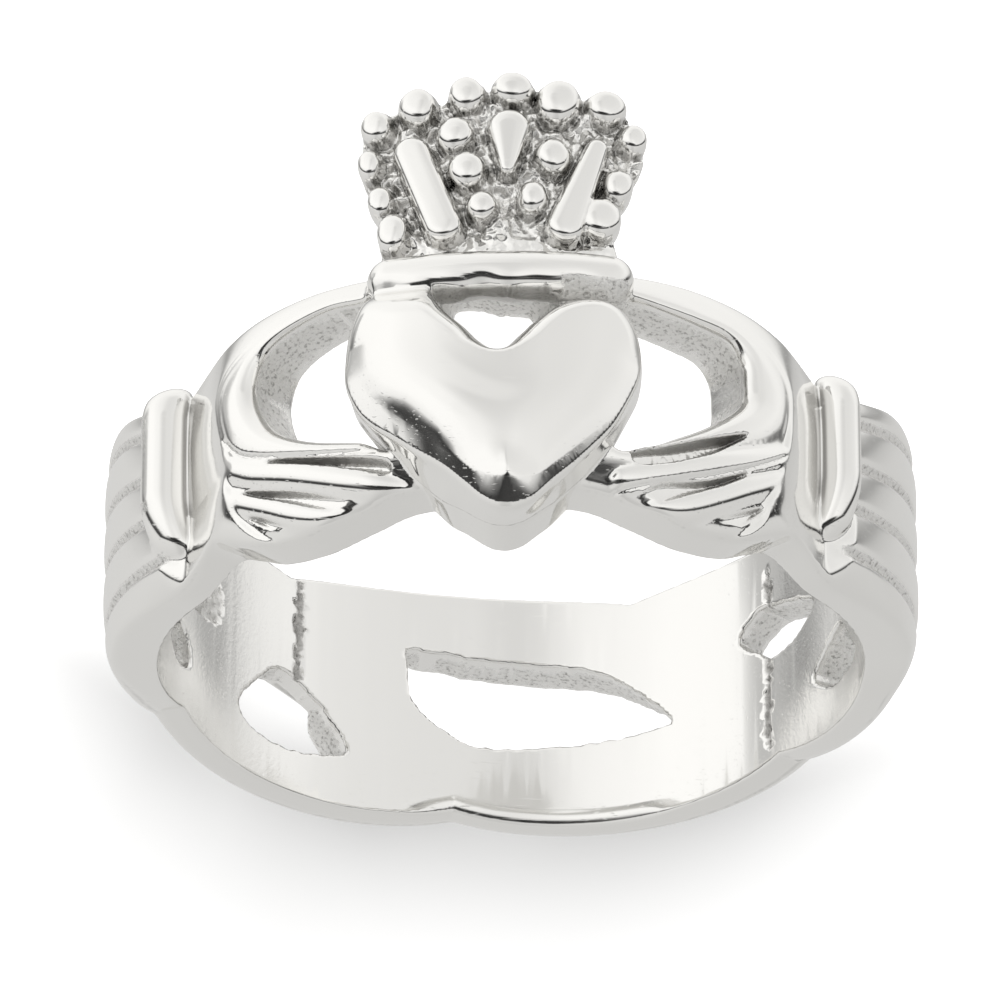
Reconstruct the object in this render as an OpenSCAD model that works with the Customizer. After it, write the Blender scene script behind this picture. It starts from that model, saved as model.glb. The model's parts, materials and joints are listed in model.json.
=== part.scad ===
// Claddagh ring: one silver casting. Two hands hold a heart below a beaded crown, the cuffs
// end in pleated sleeves, and the sleeves run into a three-strand plait round the back.
// The ring is drawn upright, the finger hole along Y, the head towards +Z and the crown
// towards +Y, and is then laid on its side on its crown and the back of the band.

/* [Finger hole and band] */
// Inside diameter of the ring
finger_d = 17.3; // [15.5:0.1:20.5]
// Width of the band at the back, which the lengths along the finger follow
band_w = 6.4; // [5.6:0.1:7.2]
// Thickness of the plait at the middle of a strand
plait_t = 1.2; // [1:0.05:1.5]
// Thickness of the pleated sleeves at their middle
sleeve_t = 1.35; // [1.2:0.05:1.6]
// Thickness of the hands at their middle
hand_t = 1.9; // [1.6:0.05:2.2]
// Thickness of the metal along the hands' two edges
hand_edge_t = 1.1; // [0.9:0.05:1.3]
// Thickness of the metal along the two edges of the rest of the band
edge_t = 0.65; // [0.5:0.05:0.8]

/* [Heart] */
// Width across the two lobes
heart_w = 7.6; // [6.8:0.1:8.2]
// Height of the heart's rim over the finger hole
heart_rim = 2.5; // [2.2:0.05:2.8]
// Rise of the dome over that rim
heart_dome = 1; // [0.6:0.05:1.3]

/* [Crown] */
// Thickness of the crown's ground
crown_t = 1.45; // [1.2:0.05:1.7]
// Diameter of a large bead
bead_d = 0.8; // [0.66:0.02:0.88]
// Thickness of the round bar under the crown
bar_d = 1.05; // [0.9:0.05:1.2]

/* [Cuffs] */
// Thickness of the round rib of a cuff
cuff_d = 1.3; // [1.1:0.05:1.5]
// Angle from the middle of the head to a cuff
cuff_at = 51; // [49:0.5:53]

/* [Hidden] */
$fn = 12;

finger_r = finger_d / 2;
// Radius of the inner skin before the finger hole is cut
core_r = finger_r - 0.35;
// A depth that is surely through the wall, and where such a cut starts
cut_from = finger_r - 1.5;
cut_depth = 6;
silver = [0.86, 0.86, 0.85];

// Edges of the band by the angle from the middle of the head.
// Columns: angle, near edge and far edge as shares of band_w
EDGES = [
    [0, -0.54, 0.37],
    [13, -0.56, 0.37],
    [20, -0.585, 0.365],
    [28, -0.61, 0.36],
    [36, -0.60, 0.345],
    [42, -0.56, 0.295],
    [47, -0.54, 0.235],
    [56, -0.60, 0.19],
    [63, -0.59, 0.245],
    [74, -0.56, 0.345],
    [85, -0.53, 0.40],
    [98, -0.50, 0.42]
];
// Where the hands end, the sleeves start, and the sleeves turn into the plait
hand_end = 46;
sleeve_start = 57;
sleeve_end = 86;
plait_start = 98;

// The plait: three strands that each swing once from side to side round the back
swing = band_w * 0.3;
strand_w = band_w * 0.43;
strand_over = 0.16;
plait_web = 0.75;
// Angle at which the first strand crosses the middle
plait_phase = 206;

// Grooves between the five pleats, as shares of the sleeve's width
PLEATS = [0.16, 0.40, 0.63, 0.86];
pleat_depth = 0.26;
pleat_half = 0.055;

// Places across the outer skin, so that each groove has its two lips and its bottom
SHARES = concat(
    [0],
    [for (i = [0 : len(PLEATS) - 1])
        let (g = PLEATS[i], before = i == 0 ? 0 : PLEATS[i - 1])
        each [(before + g) / 2, g - pleat_half, g, g + pleat_half]],
    [(PLEATS[len(PLEATS) - 1] + 1) / 2, 1]
);
ACROSS = len(SHARES);
// Angles between the cross sections
STATIONS = concat(
    [for (a = [0 : 4 : hand_end - 2]) a],
    [for (a = [hand_end : 3 : plait_start]) a],
    [for (a = [plait_start + 4 : 5 : 177]) a]
);
ROUND = concat(STATIONS, [180], [for (i = [len(STATIONS) - 1 : -1 : 1]) -STATIONS[i]]);

// Small helpers
function mix(a, b, t) = a + (b - a) * t;
function clamp01(t) = min(1, max(0, t));
function smooth(a, b, x) = let (t = clamp01((x - a) / (b - a))) t * t * (3 - 2 * t);
function dome(t) = abs(t) >= 1 ? 0 : sqrt(1 - pow(abs(t), 2.4));
function column(table, c) = [for (row = table) [row[0], row[c]]];
// A point of the ring from its angle, place along the finger and radius
function place(a, y, r) = [r * sin(a), y, r * cos(a)];

// Edges of the band: from the table in front, from the strands round the back
function wave(t) = 3 * sin(t) / (1 + 2 * abs(sin(t)));
function strand_y(a, k) = swing * wave(2 * (a - plait_phase) + 120 * k);
function strand_h(a, k) = strand_over * sin(4 * (a - plait_phase) + 240 * k);
function turn(a) = a < 0 ? a + 360 : a;
function plait_far(a) = max([for (k = [0 : 2]) strand_y(turn(a), k)]) + strand_w / 2;
function plait_near(a) = min([for (k = [0 : 2]) strand_y(turn(a), k)]) - strand_w / 2;
function back_share(a) = smooth(sleeve_end, plait_start + 6, abs(a));
function near_edge(a) =
    mix(lookup(abs(a), column(EDGES, 1)) * band_w, plait_near(a), back_share(a));
function far_edge(a) =
    mix(lookup(abs(a), column(EDGES, 2)) * band_w, plait_far(a), back_share(a));

// Thickness of the front half: hands, then sleeves with their pleats
function pleat_cut(s) =
    max([for (g = PLEATS) max(0, 1 - abs(s - g) / pleat_half)]) * pleat_depth;
function front_t(a, s) =
    let (b = abs(a), wrist = smooth(hand_end - 6, sleeve_start, b))
    mix(mix(hand_edge_t, edge_t, wrist), mix(hand_t, sleeve_t, wrist), dome(2 * s - 1))
        - pleat_cut(s) * smooth(hand_end, sleeve_start, b) * (1 - smooth(sleeve_end, plait_start, b));
// Thickness of the back half: the highest strand at each point
function strand_t(a, y, k) =
    let (d = dome((y - strand_y(a, k)) / (strand_w / 2)))
    d <= 0 ? 0 : mix(edge_t, plait_t + strand_h(a, k), d);
function back_t(a, y) =
    max(concat([plait_web], [for (k = [0 : 2]) strand_t(turn(a), y, k)]));
function skin_t(a, s) =
    let (y = mix(near_edge(a), far_edge(a), s))
    mix(front_t(a, s), min(back_t(a, y), mix(edge_t, 2 * plait_t, dome(2 * s - 1))), back_share(a));

// One cross section: the inner skin's two corners and the outer skin from near to far
function section(a) = concat(
    [place(a, near_edge(a), core_r)],
    [for (s = SHARES)
        place(a, mix(near_edge(a), far_edge(a), s), finger_r + skin_t(a, s))],
    [place(a, far_edge(a), core_r)]
);

module band_body() {
    per = ACROSS + 2;
    n = len(ROUND);
    points = [for (a = ROUND) each section(a)];
    faces = [for (i = [0 : n - 1], j = [0 : per - 1])
        let (p = i * per, q = ((i + 1) % n) * per, k = (j + 1) % per)
        each [[p + j, q + k, q + j], [p + j, p + k, q + k]]];
    polyhedron(points, faces);
}

// A cut straight out through the wall. The outline is in pairs: angle, share of band_w
module cut_out(outline, from = cut_from) {
    middle = (min([for (p = outline) p[0]]) + max([for (p = outline) p[0]])) / 2;
    reach = finger_r + plait_t / 2;
    rotate([0, middle, 0])
        translate([0, 0, from])
            linear_extrude(cut_depth)
                polygon([for (p = outline) [reach * sin(p[0] - middle), p[1] * band_w]]);
}

// Opening between thumb and fingers, for the right hand
THUMB_GAP = [
    [17, 0.27], [23, 0.285], [29, 0.265], [34, 0.22], [37, 0.15], [38, 0.03],
    [37, -0.12], [32, -0.20], [25, -0.27], [17, -0.33]
];
// Opening between the heart's cleft and the bar
CLEFT_GAP = [[-9, 0.22], [9, 0.22], [6, 0], [1.5, -0.1], [-1.5, -0.1], [-6, 0]];
// Openings of the plait, clockwise from the right hand's side
PLAIT_GAPS = [
    [[103, -0.30], [106, -0.21], [111, -0.07], [117, -0.12], [121, -0.22], [113.5, -0.31]],
    [[121, 0.13], [133, 0.235], [138, 0.20], [140, 0.13], [137, 0.07], [131, 0]],
    [[154, -0.10], [164, 0.11], [169, 0.17], [176, 0.2], [187, 0.23], [198, 0.25], [199, 0.17],
        [198, 0.03], [194, -0.07], [187, -0.15], [175, -0.16], [158, -0.14]],
    [[210, -0.26], [213, -0.14], [217, -0.05], [222, 0.01], [226, -0.02], [231, -0.14],
        [233, -0.22], [231, -0.28], [224, -0.32], [217, -0.31]],
    [[248, -0.20], [252, -0.07], [257, -0.21], [252, -0.26]]
];
// Slots between the four fingers. Columns: angle and share of band_w at the heart's end,
// the same at the wrist's end
FINGER_SLOTS = [
    [17, -0.45, 34, -0.28],
    [19, -0.585, 36.5, -0.40],
    [27, -0.675, 38, -0.51]
];
slot_w = 0.24;
slot_floor = 0.95;

module finger_slot(row) {
    middle = (row[0] + row[2]) / 2;
    reach = finger_r + hand_t;
    a = [reach * sin(row[0] - middle), row[1] * band_w];
    b = [reach * sin(row[2] - middle), row[3] * band_w];
    long = norm(b - a);
    rotate([0, middle, 0])
        translate([a[0], a[1], finger_r + slot_floor])
            rotate([0, 0, atan2(b[1] - a[1], b[0] - a[0])])
                translate([0, -slot_w / 2, 0])
                    cube([long, slot_w, cut_depth]);
}

module band() {
    difference() {
        band_body();
        for (side = [0, 1]) mirror([side, 0, 0]) {
            cut_out(THUMB_GAP);
            for (row = FINGER_SLOTS) finger_slot(row);
        }
        cut_out(CLEFT_GAP);
        for (outline = PLAIT_GAPS) cut_out(outline);
    }
}

// The heart. Its outline is two lobe arcs and two straight flanks to the tip
lobe_r = heart_w * 0.257;
lobe_x = heart_w * 0.243;
lobe_y = -band_w * 0.165;
tip_y = -band_w * 0.78;
cleft_angle = acos(-lobe_x / lobe_r);
flank_angle = -38;
LOBE_STEPS = 11;
function lobe_point(t) =
    let (a = mix(cleft_angle, flank_angle, t))
    [lobe_x + lobe_r * cos(a), lobe_y + lobe_r * sin(a)];
RIGHT_LOBE = [for (i = [0 : LOBE_STEPS]) lobe_point(i / LOBE_STEPS)];
// Steps down a flank, as shares of its length
FLANK_STEPS = [0.33, 0.66, 0.93];
FLANK = [for (t = FLANK_STEPS) mix(RIGHT_LOBE[LOBE_STEPS], [0, tip_y], t)];
HALF_HEART = concat(RIGHT_LOBE, FLANK);
HEART = concat(HALF_HEART, [[0, tip_y]],
    [for (i = [len(HALF_HEART) - 1 : -1 : 1]) [-HALF_HEART[i][0], HALF_HEART[i][1]]]);
heart_mid = [0, -band_w * 0.27];
// Levels of the heart from its foot to the top of the dome.
// Columns: share of the outline's size, share of the rim's height, share of the dome's rise
HEART_LEVELS = [
    [1.02, 0.12, 0],
    [1.01, 0.55, 0],
    [1, 0.93, 0],
    [0.97, 1, 0.06],
    [0.86, 1, 0.42],
    [0.68, 1, 0.72],
    [0.45, 1, 0.92],
    [0.2, 1, 0.99]
];
function heart_point(p, row) =
    let (q = heart_mid + (p - heart_mid) * row[0],
        r = finger_r + heart_rim * row[1] + heart_dome * row[2])
    [q[0], q[1], sqrt(r * r - q[0] * q[0] * row[1])];

module heart() {
    n = len(HEART);
    last = (len(HEART_LEVELS) - 1) * n;
    points = [for (row = HEART_LEVELS) each [for (p = HEART) heart_point(p, row)]];
    walls = [for (l = [0 : len(HEART_LEVELS) - 2], i = [0 : n - 1])
        let (p = l * n, q = (l + 1) * n, k = (i + 1) % n)
        each [[p + i, q + k, q + i], [p + i, p + k, q + k]]];
    top = len(points);
    foot = top + 1;
    caps = [for (i = [0 : n - 1]) let (k = (i + 1) % n)
        each [[last + i, last + k, top], [foot, k, i]]];
    polyhedron(
        concat(points, [[heart_mid[0], heart_mid[1], finger_r + heart_rim + heart_dome],
            heart_point(heart_mid, HEART_LEVELS[0])]),
        concat(walls, caps));
}

// The bar under the crown: a round rod bent along the finger hole
bar_half = 15;
bar_y = band_w * 0.295;
bar_r = finger_r + 1.65;
module crown_bar() {
    rotate([-90, 0, 0])
        rotate([0, 0, -90 - bar_half])
            rotate_extrude(angle = 2 * bar_half, $fn = 90)
                translate([bar_r, bar_y]) circle(d = bar_d);
    for (side = [-1, 1])
        translate(place(side * bar_half, bar_y, bar_r)) sphere(d = bar_d);
}

// The crown: a ground plate, bent round the finger, that carries beads and petals.
// Its outline in pairs: angle, share of band_w
CROWN = [
    [-16.4, 0.30], [-16.1, 0.49], [-17.5, 0.68], [-18.8, 0.90], [-17.9, 1.01], [-14.2, 1.045],
    [-9.5, 1.06], [-4.3, 1.10], [1.9, 1.115], [7.8, 1.065], [13.5, 1.065], [17, 1.03],
    [18.7, 0.975], [19.2, 0.9], [17.9, 0.755], [15.9, 0.56], [16.4, 0.30]
];
module crown_plate() {
    reach = finger_r + crown_t;
    intersection() {
        linear_extrude(2 * finger_r)
            polygon([for (p = CROWN) [reach * sin(p[0]), p[1] * band_w]]);
        rotate([-90, 0, 0]) cylinder(h = 2 * band_w, r = reach, $fn = 84);
    }
}
// Beads. Columns: angle, place as a share of band_w, share of bead_d
BEADS = [
    [-17.2, 1.0, 0.9], [-11.3, 1.072, 1], [-4.4, 1.114, 1], [1.7, 1.135, 1.05], [8, 1.072, 1.1],
    [14.6, 1.075, 1], [18.3, 0.94, 0.85], [-18, 0.84, 0.85], [-16.6, 0.665, 0.85],
    [-14.7, 0.515, 0.95], [16.1, 0.72, 1], [13.6, 0.565, 1.15], [-6.1, 0.93, 1], [-4.5, 0.775, 1],
    [-2.4, 0.61, 0.85], [7, 0.83, 1], [4.4, 0.64, 0.9], [-1.4, 0.485, 0.8], [3.4, 0.485, 0.8]
];
bead_sink = 0.3;
module crown_beads() {
    for (row = BEADS) translate(bead_at(row)) sphere(d = bead_d * row[2], $fn = 10);
}
// Petals between the beads. Columns: angle and share of band_w at the upper end, its
// diameter, and the same three at the lower end
PETALS = [
    [1.1, 0.97, 0.8, 1.1, 0.74, 0.45],
    [-11.8, 0.86, 0.6, -7.4, 0.48, 0.66],
    [12.8, 0.86, 0.5, 8.6, 0.48, 0.72]
];
module petal(row) {
    seat = finger_r + crown_t;
    hull() {
        translate(place(row[0], row[1] * band_w, seat)) sphere(d = row[2]);
        translate(place(row[3], row[4] * band_w, seat)) sphere(d = row[5]);
    }
}

// A cuff: a round rib across the wrist, for the right hand
cuff_r = finger_r + 1.55;
cuff_near = -band_w * 0.63;
cuff_far = band_w * 0.06;
module cuff() {
    rotate([0, cuff_at, 0]) translate([0, 0, cuff_r]) hull() {
        translate([0, cuff_near, 0]) sphere(d = cuff_d, $fn = 16);
        translate([0, cuff_far, 0]) sphere(d = cuff_d, $fn = 16);
    }
}

module finger_hole() {
    rotate([90, 0, 0]) cylinder(h = 6 * band_w, r = finger_r, center = true, $fn = 180);
}

// The whole casting in one skin, brought to its true width over the sleeves
module casting() {
    resize([finger_d + 2 * sleeve_t, 0, 0]) union() {
        band();
        heart();
        crown_bar();
        crown_plate();
        crown_beads();
        for (row = PETALS) petal(row);
        for (side = [0, 1]) mirror([side, 0, 0]) cuff();
    }
}

module upright_ring() {
    difference() {
        casting();
        finger_hole();
    }
}

// Lying on its side: the crown's top bead and the back edge of the band touch the floor
function bead_at(row) =
    place(row[0], row[1] * band_w, finger_r + crown_t + row[2] * bead_d * (0.5 - bead_sink));
top_row = BEADS[3];
top_bead = bead_at(top_row);
back_angle = 186;
back_edge = place(back_angle, far_edge(back_angle), finger_r + edge_t);
reach_y = top_bead[1] - back_edge[1];
reach_z = top_bead[2] - back_edge[2];
lean = atan2(reach_y, reach_z) + asin(top_row[2] * bead_d / 2 / norm([reach_y, reach_z]));
// It also rolls a little towards the right hand, onto the next strand's edge
roll = 4;
function leaned(p) =
    [p[0], p[1] * sin(lean) + p[2] * cos(lean), p[2] * sin(lean) - p[1] * cos(lean)];
function laid(p) =
    let (q = leaned(p))
    [q[0] * cos(roll) + q[2] * sin(roll), q[1], q[2] * cos(roll) - q[0] * sin(roll)];
// Every point that can be the outermost one: centre and radius
OUTER = concat(
    [for (a = ROUND) each [for (p = section(a)) [laid(p), 0]]],
    [for (row = HEART_LEVELS) each [for (p = HEART) [laid(heart_point(p, row)), 0]]],
    [for (p = CROWN) [laid(place(p[0], p[1] * band_w, finger_r)), 0]],
    [for (row = BEADS) [laid(bead_at(row)), bead_d * row[2] / 2]]
);
function high(i) = max([for (b = OUTER) b[0][i] + b[1]]);
function low(i) = min([for (b = OUTER) b[0][i] - b[1]]);

module ring() {
    color(silver)
        translate([-(low(0) + high(0)) / 2, -(low(1) + high(1)) / 2, -low(2)])
            rotate([lean - 90, roll, 0])
                upright_ring();
}

ring();
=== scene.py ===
# Claddagh ring in polished cast silver, lying on its side, seen by the photograph's camera.
# The casting is sculpted as a distance field round the finger hole and turned into one mesh.
# Lengths of the sculpt are in millimetres and angles in degrees, both in the ring's own
# frame: the finger hole along Y, the head at angle 0, the crown towards +Y.
import json
import math

import bpy
import numpy as np
from mathutils import Matrix, Vector


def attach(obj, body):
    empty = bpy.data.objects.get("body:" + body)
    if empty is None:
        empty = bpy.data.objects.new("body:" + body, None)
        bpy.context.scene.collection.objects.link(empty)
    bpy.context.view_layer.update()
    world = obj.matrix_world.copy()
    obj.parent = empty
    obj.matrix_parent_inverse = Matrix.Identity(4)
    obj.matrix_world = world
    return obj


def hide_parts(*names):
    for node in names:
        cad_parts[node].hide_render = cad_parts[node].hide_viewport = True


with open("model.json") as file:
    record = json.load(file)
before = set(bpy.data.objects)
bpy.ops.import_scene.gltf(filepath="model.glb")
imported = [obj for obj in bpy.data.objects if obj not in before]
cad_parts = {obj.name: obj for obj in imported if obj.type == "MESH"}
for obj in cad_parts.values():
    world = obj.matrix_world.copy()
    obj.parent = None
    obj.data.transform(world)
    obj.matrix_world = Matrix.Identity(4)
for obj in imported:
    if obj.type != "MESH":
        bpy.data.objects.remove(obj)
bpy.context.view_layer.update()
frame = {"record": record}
MM = 0.001

# DRIVING SIZES
hole = next(m for m in frame["record"]["mounts"] if m["kind"] == "bore")
finger_r = hole["dims"]["r_mm"]
band_w = 6.4
edge_t = 0.65
sleeve_t = 1.38
sleeve_edge_t = 1.05
hand_t = 1.85
hand_edge_t = 1.1
plait_t = 1.2
plait_web = 0.62
heart_rim = 2.5
crown_t = 1.4
bar_d = 1.22


def to_world():
    """The matrix from the ring's own frame in millimetres to the scene in metres."""
    along = -Vector(hole["axis"]).normalized()
    lean = math.asin(along[1])
    roll = math.atan2(-along[0], -along[2])
    right = Vector((math.cos(roll), 0, -math.sin(roll)))
    tip = math.sin(lean)
    head = Vector((tip * math.sin(roll), math.cos(lean), tip * math.cos(roll)))
    turn = Matrix((right, along, head)).transposed().to_4x4()
    return Matrix.Translation(Vector(hole["pos_m"])) @ turn @ Matrix.Scale(MM, 4)


RING_TO_WORLD = to_world()


# SMALL HELPERS
def clamp01(x):
    return np.clip(x, 0, 1)


def mix(a, b, t):
    return a + (b - a) * t


def smooth(a, b, x):
    t = clamp01((x - a) / (b - a))
    return t * t * (3 - 2 * t)


def soft_min(a, b, k):
    """The lesser of two heights or distances, rounded over k."""
    h = np.maximum(k - np.abs(a - b), 0) / k
    return np.minimum(a, b) - h * h * k / 4


def soft_max(a, b, k):
    return -soft_min(-a, -b, k)


def dome(t, power=2.4):
    """A rounded section: 1 in the middle and 0 at t = -1 and 1."""
    return np.sqrt(np.maximum(1 - np.abs(t) ** power, 0))


def curve(points, closed=False, steps=8):
    """A smooth line through (angle, y) points."""
    p = np.array(points, float)
    if closed:
        p = np.vstack([p[-1], p, p[0], p[1]])
    else:
        p = np.vstack([2 * p[0] - p[1], p, 2 * p[-1] - p[-2]])
    t = np.linspace(0, 1, steps, endpoint=False)[:, None]
    out = []
    for a, b, c, d in zip(p, p[1:], p[2:], p[3:]):
        out.append(0.5 * (2 * b + (c - a) * t + (2 * a - 5 * b + 4 * c - d) * t**2
                          + (3 * b - a - 3 * c + d) * t**3))
    out = np.vstack(out)
    return out if closed else np.vstack([out, p[-2]])


def blurred(height, cells):
    """A height map smoothed by averaging over so many cells each way, three times."""
    for axis in (0, 1) * 3:
        edge = np.moveaxis(height, axis, 0)
        padded = np.concatenate([edge[:1].repeat(cells + 1, 0), edge, edge[-1:].repeat(cells, 0)])
        total = np.cumsum(padded, 0)
        edge = (total[2 * cells + 1:] - total[:-2 * cells - 1]) / (2 * cells + 1)
        height = np.moveaxis(edge, 0, axis)
    return height


LUMP_CELLS = 256
LUMP_SHIFT = 90


def lumps(u, y, size, seed):
    """Smooth random relief between -1 and 1 whose lumps are about size across."""
    grid = np.random.default_rng(seed).uniform(-1, 1, (LUMP_CELLS + 1, LUMP_CELLS + 1))
    a = u / size + LUMP_SHIFT
    b = y / size + LUMP_SHIFT
    i = np.floor(a).astype(int)
    j = np.floor(b).astype(int)
    s = smooth(0, 1, a - i)
    t = smooth(0, 1, b - j)
    i %= LUMP_CELLS
    j %= LUMP_CELLS
    low = mix(grid[i, j], grid[i + 1, j], s)
    high = mix(grid[i, j + 1], grid[i + 1, j + 1], s)
    return mix(low, high, t)


# THE SHEET
# Relief is drawn on a sheet unrolled round the finger hole: angle along it, y across it.
SHEET_START = -100.0
SHEET_TURN = 0.18
SHEET_LOW = -5.7
SHEET_HIGH = 8.1
SHEET_STEP = 0.03
ARC_R = 10.0
FAR_OFF = 9.0
angles = SHEET_START + SHEET_TURN * np.arange(round(360 / SHEET_TURN))
across = SHEET_LOW + SHEET_STEP * np.arange(round((SHEET_HIGH - SHEET_LOW) / SHEET_STEP))
A, Y = np.meshgrid(angles, across, indexing="ij")
U = np.radians(A) * ARC_R


class Window:
    """The part of the sheet round a set of (angle, y) points."""

    def __init__(self, points, pad):
        p = np.array(points, float)
        pad_turn = math.degrees(pad / ARC_R)
        a0, a1 = p[:, 0].min() - pad_turn, p[:, 0].max() + pad_turn
        y0, y1 = p[:, 1].min() - pad, p[:, 1].max() + pad
        self.part = (
            slice(*np.clip(np.searchsorted(angles, [a0, a1]), 0, len(angles))),
            slice(*np.clip(np.searchsorted(across, [y0, y1]), 0, len(across))),
        )
        self.u, self.y, self.a = U[self.part], Y[self.part], A[self.part]


def on_sheet(win, values, elsewhere=FAR_OFF):
    """A whole sheet that holds these values in the window."""
    sheet = np.full(A.shape, float(elsewhere))
    sheet[win.part] = values
    return sheet


def line_distance(win, line):
    """Distance from each place of the window to a line of (angle, y) points."""
    p = np.column_stack([np.radians(line[:, 0]) * ARC_R, line[:, 1]])
    best = np.full(win.u.shape, 1e9)
    for a, b in zip(p, p[1:]):
        d = b - a
        n = d @ d
        if n == 0:
            continue
        t = clamp01(((win.u - a[0]) * d[0] + (win.y - a[1]) * d[1]) / n)
        best = np.minimum(best, (win.u - a[0] - t * d[0]) ** 2 + (win.y - a[1] - t * d[1]) ** 2)
    return np.sqrt(best)


def outline_distance(win, line):
    """As line_distance for a closed outline: less than 0 inside it."""
    ring = np.vstack([line, line[:1]])
    d = line_distance(win, ring)
    inside = np.zeros(win.u.shape, bool)
    for (a0, y0), (a1, y1) in zip(ring, ring[1:]):
        if y0 == y1:
            continue
        crosses = (win.y < y0) != (win.y < y1)
        inside ^= crosses & (win.a < (a1 - a0) * (win.y - y0) / (y1 - y0) + a0)
    return np.where(inside, -d, d)


def sink(height, rough, points, floor, wall):
    """Cuts a rough recess with a wall of that width into a height map."""
    win = Window(points, 1.2)
    d = outline_distance(win, curve(points, closed=True))
    before = height[win.part]
    height[win.part] = mix(before, np.minimum(before, floor), smooth(0.02, -wall, d))
    mark = smooth(0.03, -0.05, d) * smooth(0.01, 0.06, before - floor)
    rough[win.part] = np.maximum(rough[win.part], mark)


# THE BAND
# Columns: angle from the middle of the head, near edge, far edge
EDGES = np.array([
    [0, -3.46, 2.37],
    [13, -3.58, 2.37],
    [20, -3.90, 2.42],
    [28, -4.20, 2.36],
    [36, -4.12, 2.14],
    [42, -3.72, 1.80],
    [47, -3.46, 1.50],
    [56, -3.84, 1.22],
    [63, -3.78, 1.57],
    [74, -3.58, 2.21],
    [85, -3.39, 2.56],
    [98, -3.20, 2.69],
])
hand_end = 46
sleeve_start = 57
sleeve_end = 86
plait_start = 98

swing = 0.3 * band_w
strand_w = 0.43 * band_w
strand_over = 0.16
plait_phase = 206


def wave(t):
    s = np.sin(np.radians(t))
    return 3 * s / (1 + 2 * np.abs(s))


def strand_y(a, k):
    return swing * wave(2 * (a - plait_phase) + 120 * k)


def strand_top(a, k):
    return finger_r + plait_t + strand_over * np.sin(np.radians(4 * (a - plait_phase) + 240 * k))


def edge_curve(column, a):
    """An edge of the front half at angle a, smooth through its table."""
    line = curve(EDGES[:, [0, column]], steps=12)
    mirrored = np.vstack([line[::-1] * [-1, 1], line[1:]])
    return np.interp(a, mirrored[:, 0], mirrored[:, 1])


strands = range(3)
strand_mid = [strand_y(A, k) for k in strands]
half_turn = np.where(A > 180, A - 360, A)
off_head = np.abs(half_turn)
back = smooth(sleeve_end, plait_start + 6, off_head)
near = mix(edge_curve(1, half_turn), np.min(strand_mid, 0) - strand_w / 2, back)
far = mix(edge_curve(2, half_turn), np.max(strand_mid, 0) + strand_w / 2, back)
share = (Y - near) / (far - near)
wrist = smooth(hand_end - 6, sleeve_start, off_head)

# Sleeves: five pleats. Between them, at these shares of the width, a narrow rough groove
# lies in a wide dip.
GROOVES = [0.16, 0.40, 0.63, 0.86]
groove_depth = 0.15
groove_w = 0.13
dip_depth = 0.03
dip_w = 0.35
groove_rough = 0.9
sleeve_rough = 0.2
sleeves = smooth(54, 58, off_head) * (1 - smooth(sleeve_end, plait_start, off_head))
hand_top = mix(hand_edge_t, hand_t, dome(2 * share - 1))
sleeve_top = mix(sleeve_edge_t, sleeve_t, dome(2 * share - 1, 5))
front_top = finger_r + mix(hand_top, sleeve_top, wrist)
rough = sleeve_rough * sleeves
for g in GROOVES:
    from_groove = np.abs(share - g) * (far - near)
    groove = groove_depth * np.exp(-((from_groove / groove_w) ** 2))
    groove = groove + dip_depth * np.exp(-((from_groove / dip_w) ** 2))
    front_top = front_top - groove * sleeves
    mark = groove_rough * sleeves * smooth(0.2, 0.1, from_groove) * smooth(90, 84, off_head)
    rough = np.maximum(rough, mark)

# Back: the plait, each strand rounded and passing over and under
back_top = np.full(A.shape, finger_r + plait_web)
for k in strands:
    t = (Y - strand_mid[k]) / (strand_w / 2)
    rounded = mix(finger_r + edge_t, strand_top(A, k), dome(t))
    back_top = soft_max(back_top, np.where(np.abs(t) < 1, rounded, finger_r), 0.05)
band_top = mix(front_top, back_top, back)
# Under the cuffs the near edge is rounded off
cuff_round = 0.8
cuff_fall = 0.4
at_cuff = smooth(46, 54, off_head) * smooth(78, 58, off_head)
band_top = band_top - cuff_fall * at_cuff * clamp01(1 - (Y - near) / cuff_round) ** 1.5
# The edges run at a slant, which brings them a little nearer than straight across
edge_slant = 0.96
band_edge = np.maximum(near - Y, Y - far) * edge_slant

# THE TWO HANDS
# Each line is in (angle, y) pairs from the thumb, past the wrist, to the fingers.
LEFT = {
    "crest": [(-17, 2.12), (-22, 1.98), (-27, 1.82), (-33.5, 1.47), (-37.5, 1.08), (-40.4, 0.6),
              (-41.7, 0), (-41.5, -0.6), (-40.6, -1.3), (-40, -2), (-40.2, -2.6), (-39.1, -3.3),
              (-36.8, -3.87), (-33, -4.3), (-26, -4.6), (-16, -4.7)],
    "opening": [(-17.5, 1.6), (-20.5, 1.62), (-24, 1.62), (-28, 1.45), (-31.8, 1.2), (-34.3, 0.9),
                (-35.6, 0.5), (-36.1, 0), (-35.2, -0.6), (-33, -1.2), (-30, -1.6), (-25.5, -1.95),
                (-19.4, -2.2), (-14, -2.4), (-12, 0), (-14, 1.4)],
    "palm": [(-41, -1.15), (-39.6, -1.35), (-38.4, -1.6), (-36.2, -1.88), (-31.5, -2.16),
             (-25, -2.4), (-17, -2.6)],
    "slots": [
        [(-33, -2.22), (-30.5, -2.24), (-25, -2.46), (-19, -2.68), (-15.5, -2.84), (-14.8, -3.05),
         (-15.8, -3.14), (-19, -2.98), (-23.5, -2.74), (-30.5, -2.38)],
        [(-37.2, -2.75), (-32, -2.98), (-26.7, -3.27), (-19, -3.76), (-17.4, -3.93), (-19, -4.03),
         (-25, -3.76), (-30.8, -3.33), (-35.8, -2.95)],
        [(-37, -3.4), (-34.7, -3.52), (-30.4, -3.95), (-25, -4.4), (-28.7, -4.28), (-32.9, -3.96),
         (-35.8, -3.6)],
    ],
}
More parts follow.
